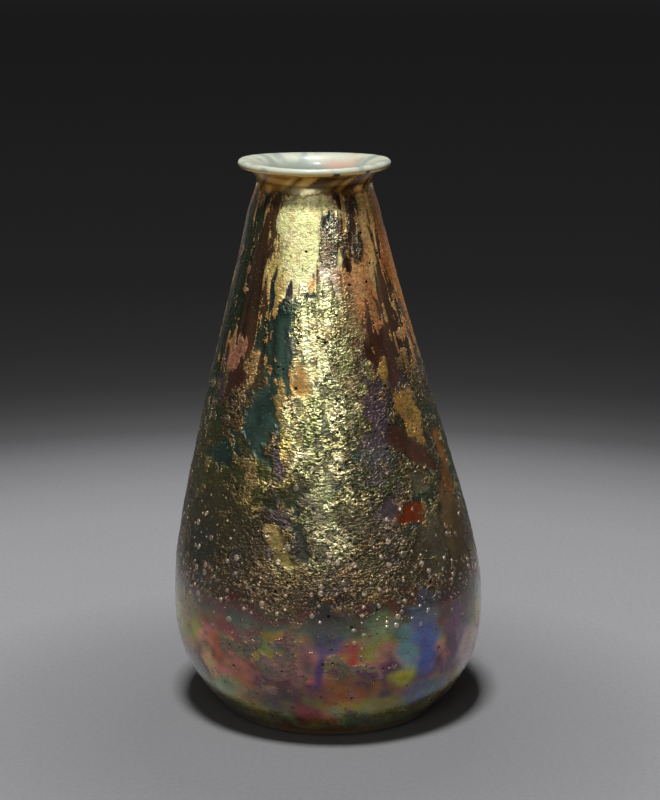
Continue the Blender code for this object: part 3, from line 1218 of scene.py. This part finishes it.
@dataclass(frozen=True)
class LustredGlass:
    """Amber glass under a film of lustre, with a torn, granular metallic crust over it.

    The first fields are the sizes of its marks, in metres.
    """

    speck: float = 0.0008
    hammer: float = 0.0014
    sand: float = 0.00045
    hair: float = 0.0011
    scratch_and_glint: float = 0.0008
    bubble: float = 0.0024
    bead: float = 0.0013
    pit_spacing: float = 1.0 / 330.0
    bump_depth: float = 0.0009
    crust_roughness: float = 0.35
    satin_roughness: float = 0.56
    film_roughness: float = 0.40
    low_roughness: float = 0.20
    bare_roughness: float = 0.24
    opal_roughness: float = 0.42
    bare_metal: float = 0.55
    coat: float = 0.08
    glossy_coat: float = 0.85
    coat_roughness: float = 0.08
    specular: float = 0.5
    opal_specular: float = 0.15
    glass_index: float = 1.52
    # Pale scratches on the film, partly real wear and partly painted glints
    rubbed_and_glint: Colour = (0.50, 0.46, 0.38)
    # Painted shade inside the pits
    shaded_pit: Colour = (0.012, 0.010, 0.008)
    # Painted shade in the pockets of the hammered crust
    pocket_shade: Colour = (0.032, 0.040, 0.020)
    # Painted glints on the peaks of the hammered crust
    painted_glint: Colour = (0.82, 0.77, 0.58)
    between: Colour = (0.070, 0.052, 0.030)
    veil: Colour = (0.235, 0.180, 0.150)
    pale: Colour = (0.36, 0.28, 0.20)

    def make(self) -> bpy.types.Material:
        """Builds the material.

        Returns:
            The material.
        """
        s = Shading("lustred_glass_skin")
        gloss = s.attribute("gloss")
        tall = s.attribute("tall")
        froth = s.attribute("froth")
        film = s.attribute("film_tint", "Color")
        grain = s.times(s.attribute("grain"), s.span(gloss, 0.0, 1.0, 1.0, 0.62))
        bare = s.attribute("bare")
        opal = s.attribute("opal")
        clear = s.math("MAXIMUM", bare, opal)
        skin = s.less(1.0, clear)
        # Where the crust is torn, in specks below and in drawn hairs above
        speck = s.noise(self.speck, 2.0)
        hammer = s.noise(self.hammer, 2.0, 0.55, 21.0, swirl=0.8)
        sand = s.noise(self.sand, 1.0, 1.0, 8.0)
        hair = s.noise(self.hair, 3.0, 12.0, 3.0, over=s.attribute("around", "Vector"))
        torn = s.plus(s.times(s.less(speck, 0.5), 0.7),
                      s.times(s.less(hair, 0.5), s.span(tall, 0.0, 1.0, 0.3, 1.5)))
        crust = s.span(s.plus(s.attribute("crust"), torn), 0.43, 0.57)
        # Hammered crust: painted shade in hollows and dark pockets, painted glints as flecks, where grainy
        # Painted shade and light: the crust is darker in the hollows of its relief and lighter on its rises
        shade = s.times(s.span(hammer, 0.32, 0.62, 0.60, 1.15), s.span(sand, 0.3, 0.7, 0.80, 1.15))
        lit = s.mix(1.0, s.attribute("crust_tint", "Color"), s.grey(shade), "MULTIPLY")
        pocket_shade_share = s.times(s.span(hammer, 0.53, 0.42, 0.0, 0.90), s.span(grain, 0.4, 1.0))
        lit = s.mix(pocket_shade_share, lit, self.pocket_shade)
        painted_glint_share = s.times(s.span(hammer, 0.56, 0.66, 0.0, 0.45), s.span(grain, 0.5, 1.0))
        lit = s.mix(painted_glint_share, lit, self.painted_glint)
        # The film, rubbed pale in places, partly painted glints, and a sandy veil over the low part
        scratch_and_glint = s.span(s.noise(self.scratch_and_glint, 2.0, 0.4, 31.0), 0.65, 0.74, 0.0, 0.6)
        colour = s.mix(crust, s.mix(scratch_and_glint, film, self.rubbed_and_glint), lit)
        veil = s.times(s.span(sand, 0.40, 0.66), s.span(gloss, 0.3, 1.0, 0.0, 0.42))
        colour = s.mix(veil, colour, self.veil)
        # Froth: pale bubbles of all sizes, and beads in a band at its foot
        cell = s.cells(self.bubble)
        chance = s.channel(cell.outputs["Color"], 0)
        chance = s.times(chance, chance)
        reach = s.less(cell.outputs["Distance"], s.times(chance, 0.44))
        bubble = s.times(s.span(reach, 0.06, 0.0), s.span(froth, 0.3, 0.8))
        beads = s.cells(self.bead)
        near = s.less(beads.outputs["Distance"], s.times(s.channel(beads.outputs["Color"], 2), 0.42))
        band = s.times(s.span(gloss, 0.02, 0.25), s.span(gloss, 0.92, 0.70))
        bead = s.times(s.span(near, 0.10, -0.02), s.times(band, froth))
        bubble = s.math("MAXIMUM", bubble, s.times(bead, 0.5))
        dim = s.times(s.less(froth, bubble), 0.62)
        colour = s.mix(dim, colour, self.between)
        colour = s.mix(s.times(bubble, 0.7), colour, self.pale)
        # Pits painted near black as the shade inside them, and opal glass that has neither crust nor pits
        pits = s.cells(self.pit_spacing)
        hole = s.less(pits.outputs["Distance"], s.times(s.channel(pits.outputs["Color"], 1), 0.16))
        shaded_pit = s.times(s.span(hole, 0.03, -0.02), s.span(bare, 0.6, 0.2))
        colour = s.mix(shaded_pit, colour, self.shaded_pit)
        colour = s.mix(opal, colour, film)
        # How metallic and how rough each of them is
        metal = s.times(s.span(crust, 0.0, 1.0, 0.78, 0.94), skin)
        metal = s.times(metal, s.span(bubble, 0.0, 1.0, 1.0, 0.35))
        metal = s.plus(metal, s.times(s.less(bare, opal), self.bare_metal))
        still = s.span(gloss, 0.0, 1.0, self.film_roughness, self.low_roughness)
        satin = s.span(grain, 0.3, 0.9, self.satin_roughness, self.crust_roughness)
        torn_rough = s.span(gloss, 0.0, 1.0, satin, self.low_roughness + 0.12)
        rough = s.plus(s.times(crust, torn_rough), s.times(s.less(1.0, crust), still))
        rough = s.plus(rough, s.span(speck, 0.3, 0.7, -0.05, 0.09))
        plain = s.span(opal, 0.0, 1.0, self.bare_roughness, self.opal_roughness)
        rough = s.plus(s.times(rough, skin), s.times(clear, plain))
        # The finest relief
        rugged = s.plus(hammer, s.times(speck, 0.45))
        rugged = s.times(rugged, s.span(grain, 0.30, 1.0, 0.07, 1.0))
        lift = s.plus(rugged, s.times(crust, 0.18))
        lift = s.plus(lift, s.times(s.times(sand, crust), 0.16))
        lift = s.less(lift, s.times(shaded_pit, 0.5))
        lift = s.plus(lift, s.times(s.span(reach, 0.10, -0.12), froth))
        lift = s.plus(lift, s.times(bead, 0.5))
        lift = s.times(lift, s.span(gloss, 0.5, 1.0, 1.0, 0.6))
        bump = s.add("ShaderNodeBump", Height=s.times(lift, skin), Strength=1.0, Distance=self.bump_depth)
        s.give(Base_Color=colour, Metallic=metal, Roughness=rough, Normal=bump.outputs[0],
               Coat_Weight=s.span(gloss, 0.0, 1.0, self.coat, self.glossy_coat),
               Coat_Roughness=self.coat_roughness, IOR=self.glass_index,
               Specular_IOR_Level=s.span(opal, 0.0, 1.0, self.specular, self.opal_specular))
        return s.material


@dataclass(frozen=True)
class BlisterGlass:
    """Pale, half clear glass of the blisters."""

    dome: Colour = (0.22, 0.165, 0.115)
    shade: Colour = (0.08, 0.065, 0.045)
    roughness: float = 0.34
    cloud: float = 0.0016
    mottle: float = 0.006
    bump_depth: float = 0.0003
    metal: float = 0.35
    coat: float = 0.5
    coat_roughness: float = 0.08
    glass_index: float = 1.52

    def make(self) -> bpy.types.Material:
        """Builds the material.

        Returns:
            The material.
        """
        s = Shading("blister_glass")
        cloud = s.noise(self.cloud, 3.0)
        mottle = s.noise(self.mottle, 2.0, 1.0, 5.0)
        share = s.times(s.span(cloud, 0.35, 0.68), s.span(mottle, 0.3, 0.7, 0.55, 1.0))
        rough = s.span(cloud, 0.3, 0.7, self.roughness, self.roughness + 0.12)
        bump = s.add("ShaderNodeBump", Height=cloud, Strength=0.4, Distance=self.bump_depth)
        s.give(Base_Color=s.mix(share, self.shade, self.dome), Roughness=rough, Normal=bump.outputs[0],
               Metallic=self.metal, Coat_Weight=self.coat, Coat_Roughness=self.coat_roughness,
               IOR=self.glass_index)
        return s.material


def blister_tree() -> Tree:
    """Builds the tree that sets a low dome, or a ring, on each point of a cloud of points.

    Returns:
        The tree. Each point carries its size, its outward direction and whether it is a ring.
    """
    tree = Tree("blisters", {
        "Dome Height": "NodeSocketFloat",
        "Ring Width": "NodeSocketFloat",
        "Sides": "NodeSocketInt",
        "Rows": "NodeSocketInt",
        "Material": "NodeSocketMaterial",
    })
    given = tree.given
    turn = tree.add("FunctionNodeAlignRotationToVector", {"axis": "Z"},
                    Vector=tree.attribute("outward", "FLOAT_VECTOR")).outputs[0]
    ball = tree.add("GeometryNodeMeshUVSphere", Segments=given["Sides"], Rings=given["Rows"], Radius=1.0)
    round_ball = tree.add("GeometryNodeSetShadeSmooth", Geometry=ball.outputs[0])
    flat = tree.add("ShaderNodeCombineXYZ", s0=1.0, s1=1.0, s2=given["Dome Height"])
    dome = tree.add("GeometryNodeTransform", Geometry=round_ball.outputs[0], Scale=flat.outputs[0])
    line = tree.add("GeometryNodeCurvePrimitiveCircle", Resolution=24, Radius=1.0)
    tube = tree.add("GeometryNodeCurvePrimitiveCircle", Resolution=6, Radius=given["Ring Width"])
    hoop = tree.add("GeometryNodeCurveToMesh", Curve=line.outputs[0], Profile_Curve=tube.outputs[0])
    loop = tree.add("GeometryNodeSetShadeSmooth", Geometry=hoop.outputs[0])
    ring = tree.add("FunctionNodeCompare", {"data_type": "FLOAT", "operation": "GREATER_THAN"},
                    s0=tree.attribute("ring"), s1=0.5)
    not_ring = tree.add("FunctionNodeBooleanMath", {"operation": "NOT"}, s0=ring.outputs[0])
    joined = tree.add("GeometryNodeJoinGeometry")
    for shape, pick in ((dome, not_ring), (loop, ring)):
        stood = tree.add("GeometryNodeInstanceOnPoints", Points=given["Geometry"], Selection=pick.outputs[0],
                         Instance=shape.outputs[0], Rotation=turn, Scale=tree.attribute("size"))
        tree.join(stood.outputs[0], joined.inputs[0])
    return tree.end(joined.outputs[0])


@dataclass(frozen=True)
class Blister:
    """One bubble that broke through the lustre: bearing in degrees, the rest in millimetres."""

    bearing: float
    height: float
    size: float
    ring: bool = False


@dataclass
class Blisters:
    """The bubbles that stand on the skin, most of them in the froth above the rainbow.

    Heights and sizes are in millimetres, dome_height and ring_width are shares of a
    blister's size, and ray_start is in metres.
    """

    sizes: VaseSizes
    seed: int = 29
    count: int = 90
    dome_height: float = 0.24
    ring_width: float = 0.11
    sides: int = 10
    rows: int = 5
    middle_height: float = 52.0
    height_spread: float = 13.0
    lowest: float = 33.0
    highest: float = 100.0
    smallest: float = 0.28
    size_range: float = 0.7
    ring_share: float = 0.05
    ray_start: float = 0.08
    named: tuple[Blister, ...] = (
        Blister(41.0, 45.0, 1.9, True),
        Blister(53.0, 101.0, 1.3, True),
        Blister(-14.5, 69.0, 1.15),
        Blister(-50.0, 59.0, 1.0),
        Blister(31.0, 57.0, 1.2),
        Blister(56.0, 59.0, 1.1),
        Blister(62.0, 58.0, 0.9),
        Blister(27.0, 66.5, 0.9, True),
    )

    def scatter(self) -> list[Blister]:
        """Draws the places of the unnamed blisters.

        Returns:
            All blisters.
        """
        draw = np.random.default_rng(self.seed)
        found = list(self.named)
        for _ in range(self.count):
            bearing = draw.uniform(-180.0, 180.0)
            height = draw.normal(self.middle_height, self.height_spread)
            found.append(Blister(
                bearing=bearing,
                height=float(np.clip(height, self.lowest, self.highest)),
                size=float(self.smallest + self.size_range * draw.random() ** 3),
                ring=bool(draw.random() < self.ring_share),
            ))
        return found

    def build(self, skin: bpy.types.Object) -> bpy.types.Object:
        """Sets the blisters on the skin.

        Args:
            skin: The finished vase.

        Returns:
            All blisters as one mesh object.
        """
        places, outward, widths, rings = [], [], [], []
        for blister in self.scatter():
            turn = math.radians(blister.bearing)
            way = Vector((math.sin(turn), -math.cos(turn), 0.0))
            height = blister.height * MM
            middle = Vector((-float(self.sizes.lean_at(np.array(height))), 0.0, height))
            hit, place, normal, _ = skin.ray_cast(middle + way * self.ray_start, -way)
            if not hit:
                continue
            places.append(place)
            outward.append(normal)
            widths.append(blister.size * MM)
            rings.append(float(blister.ring))
        cloud = bpy.data.meshes.new("blister_places")
        cloud.from_pydata(places, [], [])
        for name, kind, key, values in (
            ("size", "FLOAT", "value", widths),
            ("ring", "FLOAT", "value", rings),
            ("outward", "FLOAT_VECTOR", "vector", outward),
        ):
            attribute = cloud.attributes.new(name, kind, "POINT")
            attribute.data.foreach_set(key, np.array(values, dtype=np.float32).ravel())
        return blister_tree().grow("blisters", cloud, {
            "Dome Height": self.dome_height,
            "Ring Width": self.ring_width,
            "Sides": self.sides,
            "Rows": self.rows,
            "Material": BlisterGlass().make(),
        })


@dataclass(frozen=True)
class Softbox:
    """A soft light that faces the vase, with its bearing in degrees and its lengths in metres.

    A light that is sheen_only shows in gloss and sheen, and casts none on matt faces. aim is
    the height that the light faces.
    """

    name: str
    bearing: float
    distance: float
    height: float
    size: tuple[float, float]
    radiance: float
    tint: Colour = (1.0, 1.0, 1.0)
    sheen_only: bool = True
    aim: float = 0.08

    def hang(self) -> None:
        """Hangs the light in the scene."""
        data = bpy.data.lights.new(self.name, "AREA")
        data.shape = "RECTANGLE"
        data.size, data.size_y = self.size
        data.energy = self.radiance * math.pi * self.size[0] * self.size[1]
        data.color = self.tint
        turn = math.radians(self.bearing)
        place = Vector((self.distance * math.sin(turn), -self.distance * math.cos(turn), self.height))
        item = placed(self.name, data)
        item.location = place
        item.rotation_euler = (place - Vector((0.0, 0.0, self.aim))).to_track_quat("Z", "Y").to_euler()
        item.visible_camera = False
        item.visible_diffuse = not self.sheen_only


@dataclass(frozen=True)
class Studio:
    """The pale floor, the soft lights and the camera, in metres.

    The ramp of floor shades paints the light and shade that fall on the floor by distance from the vase,
    darker right by it. Past far_glow the floor glows with painted light the colour of the surroundings.
    """

    camera_back: float = 0.6186
    camera_up: float = 0.2375
    camera_down_deg: float = 13.12
    focal_px: float = 2147.0
    sensor: float = 36.0
    nearest: float = 0.01
    farthest: float = 30.0
    floor_radius: float = 12.0
    floor_sides: int = 96
    # Painted light and shade on the floor by distance in metres: darker right by the vase, brightest a
    # little way off, dark farther out
    painted_floor_light: tuple[tuple[float, float], ...] = (
        (0.00, 0.162), (0.05, 0.162), (0.08, 0.168), (0.105, 0.221), (0.145, 0.264), (0.19, 0.267),
        (0.251, 0.265), (0.315, 0.206), (0.352, 0.127), (0.389, 0.068), (0.475, 0.036), (0.58, 0.028),
        (0.77, 0.026), (0.93, 0.030), (1.13, 0.035), (1.63, 0.057), (4.0, 0.18), (6.0, 0.34), (12.0, 0.0),
    )
    # The middle of the painted floor light sits this far in front of and to the left of the vase's middle
    paper_forward: float = 0.03
    paper_left: float = 0.008
    paper_blue: float = 1.03
    paper_roughness: float = 0.9
    fibre: float = 0.0015
    surroundings: Colour = (0.040, 0.040, 0.042)
    far_glow: tuple[float, float] = (6.0, 11.0)
    softboxes: tuple[Softbox, ...] = (
        Softbox("high", -10.0, 0.38, 1.24, (0.23, 0.22), 150.0, sheen_only=False),
        Softbox("front", -10.0, 0.95, 0.50, (0.40, 0.60), 2.1, sheen_only=False),
        Softbox("left", -100.0, 0.9, 0.26, (0.25, 0.5), 0.35),
        Softbox("right", 95.0, 0.9, 0.26, (0.30, 0.5), 0.7, (1.0, 0.93, 0.86)),
        Softbox("back left", 205.0, 1.0, 0.30, (0.35, 0.5), 0.6),
        Softbox("back right", 150.0, 1.0, 0.30, (0.3, 0.5), 0.6),
        Softbox("high behind", 175.0, 0.38, 1.24, (0.22, 0.22), 110.0),
    )

    def camera(self) -> None:
        """Places the camera where the photograph was taken from."""
        data = bpy.data.cameras.new("camera")
        data.sensor_width = self.sensor
        data.lens = self.focal_px * self.sensor / max(PICTURE_WIDTH, PICTURE_HEIGHT)
        data.clip_start = self.nearest
        data.clip_end = self.farthest
        item = placed("camera", data)
        item.location = (0.0, -self.camera_back, self.camera_up)
        item.rotation_euler = (math.radians(90.0 - self.camera_down_deg), 0.0, 0.0)
        bpy.context.scene.camera = item

    def floor(self) -> None:
        """Lays a round pale floor, with painted light and shade falling off into the dark, and a painted
        glow far off that melts it into the surroundings.
        """
        shape = bmesh.new()
        bmesh.ops.create_circle(shape, cap_ends=True, segments=self.floor_sides, radius=self.floor_radius)
        mesh = bpy.data.meshes.new("floor")
        shape.to_mesh(mesh)
        shape.free()
        s = Shading("painted_floor_light")
        reach = self.painted_floor_light[-1][0]
        middle = (-self.paper_left, -self.paper_forward, 0.0)
        away = s.add("ShaderNodeVectorMath", {"operation": "DISTANCE"}, s0=s.place, s1=middle)
        far = away.outputs["Value"]
        # Painted light and shade on the floor by distance from the vase
        fade = s.add("ShaderNodeValToRGB", Fac=s.math("DIVIDE", far, reach))
        ramp = fade.color_ramp
        for distance, shade in self.painted_floor_light:
            if distance in (0.0, reach):
                mark = ramp.elements[0 if distance == 0.0 else -1]
            else:
                mark = ramp.elements.new(distance / reach)
            mark.position = distance / reach
            mark.color = (shade, shade, shade * self.paper_blue, 1.0)
        weave = s.grey(s.span(s.noise(self.fibre, 4.0), 0.3, 0.7, 0.92, 1.0))
        # The floor's colour carries painted light and shade, and far off a painted glow the colour of the
        # surroundings
        s.give(Base_Color=s.mix(1.0, fade.outputs[0], weave, "MULTIPLY"), Roughness=self.paper_roughness,
               Specular_IOR_Level=0.0, Emission_Color=(*self.surroundings, 1.0),
               Emission_Strength=s.span(far, *self.far_glow))
        mesh.materials.append(s.material)
        placed("floor", mesh)

    def lights(self) -> None:
        """Hangs the lights, and gives the surroundings a little light of their own."""
        for box in self.softboxes:
            box.hang()
        world = bpy.data.worlds.new("studio")
        world.use_nodes = True
        world.node_tree.nodes["Background"].inputs["Color"].default_value = (*self.surroundings, 1.0)
        bpy.context.scene.world = world
        bpy.context.scene.view_settings.view_transform = "Standard"


def main() -> None:
    """Builds the vase and the studio, and reports each piece."""
    logging.basicConfig(level=logging.INFO, format="%(name)s: %(message)s")
    studio = Studio()
    studio.camera()
    vase = Vase(VaseSizes.from_frame())
    item = vase.turn()
    vase.lay_lustre(item)
    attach(item, "root")
    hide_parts(NODE)
    bubbles = Blisters(vase.sizes).build(item)
    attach(bubbles, "root")
    for piece in (item, bubbles):
        LOG.info("%s: %d triangles", piece.name, sum(len(face.vertices) - 2 for face in piece.data.polygons))
    studio.floor()
    studio.lights()


if __name__ == "__main__":
    main()
